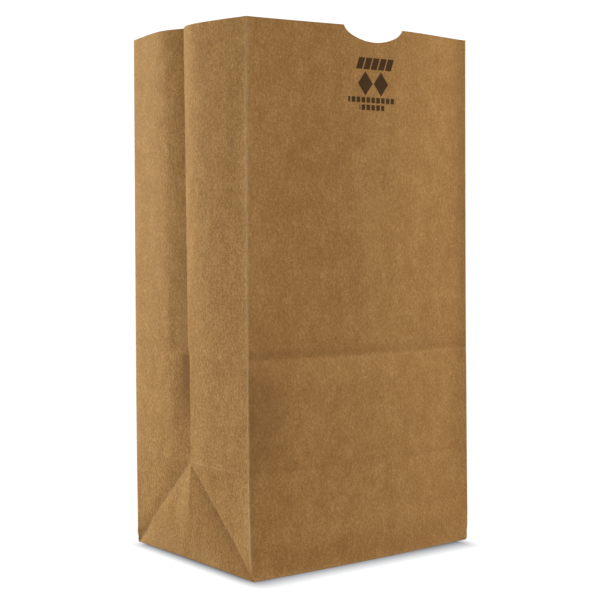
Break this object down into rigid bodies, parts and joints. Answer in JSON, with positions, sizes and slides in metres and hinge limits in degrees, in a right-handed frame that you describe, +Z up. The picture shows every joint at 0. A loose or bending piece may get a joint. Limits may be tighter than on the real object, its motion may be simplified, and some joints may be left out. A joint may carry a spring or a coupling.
{
  "type": "brown paper grocery bag",
  "caption": "Square-bottom kraft paper bag standing open, with side gussets, a thumb cut in the front of the mouth, mitred base folds and a lapped back seam.",
  "frame": {"origin": "middle of the bottom, on the surface that the bag stands on", "axes": "+Z up out of the mouth, +X to the right across the front panel, -Y out of the front panel with the thumb cut"},
  "size_m": [0.2239, 0.1803, 0.398],
  "materials": {
    "kraft_paper": "uncoated brown kraft, matt with fine mottled fibres, one small block of dark brown ink on the front"
  },
  "bodies": {
    "root": {"paper_bag": "kraft_paper"}
  },
  "joints": []
}
